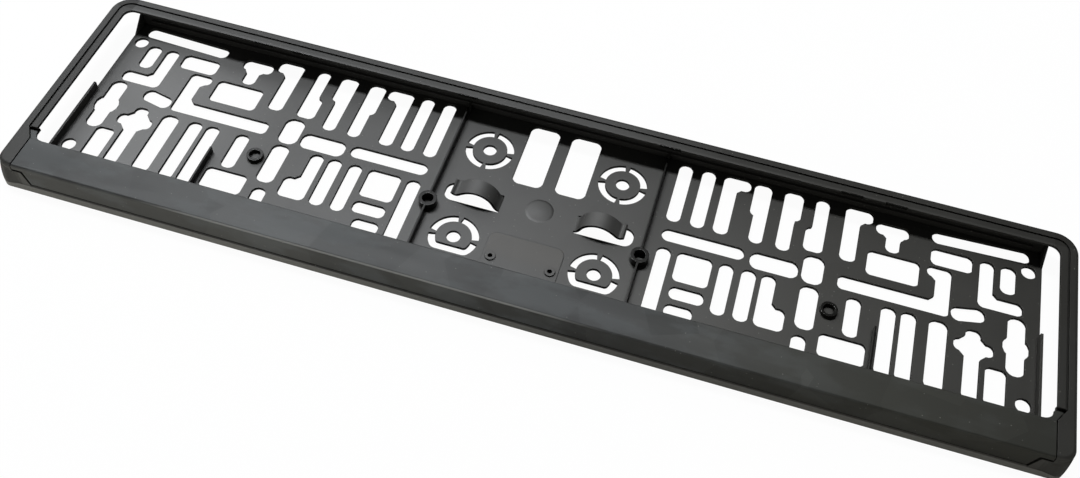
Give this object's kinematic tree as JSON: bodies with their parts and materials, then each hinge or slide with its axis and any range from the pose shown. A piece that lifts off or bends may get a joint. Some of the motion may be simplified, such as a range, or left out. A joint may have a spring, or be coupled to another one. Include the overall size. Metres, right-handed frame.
{
  "type": "number plate holder",
  "caption": "Flat rectangular holder for a vehicle number plate: rimmed base frame with a slotted back panel and spring tongues, and a clip-on lower retaining strip.",
  "frame": {"origin": "middle of the rear face, which lies on the car or on a table", "axes": "+X along the plate to its right end, +Y to the plate's top edge, +Z out of the front"},
  "size_m": [0.533, 0.1306, 0.0164],
  "materials": {
    "base_plastic": "satin moulded black",
    "strip_plastic": "satin moulded black"
  },
  "bodies": {
    "base": {"base_frame": "base_plastic"},
    "strip": {"retaining_strip": "strip_plastic"}
  },
  "joints": [
    {"name": "strip_unclip", "type": "slide", "parent": "base", "child": "strip", "axis": [0, 0, 1], "range_m": [0, 0.03]}
  ]
}
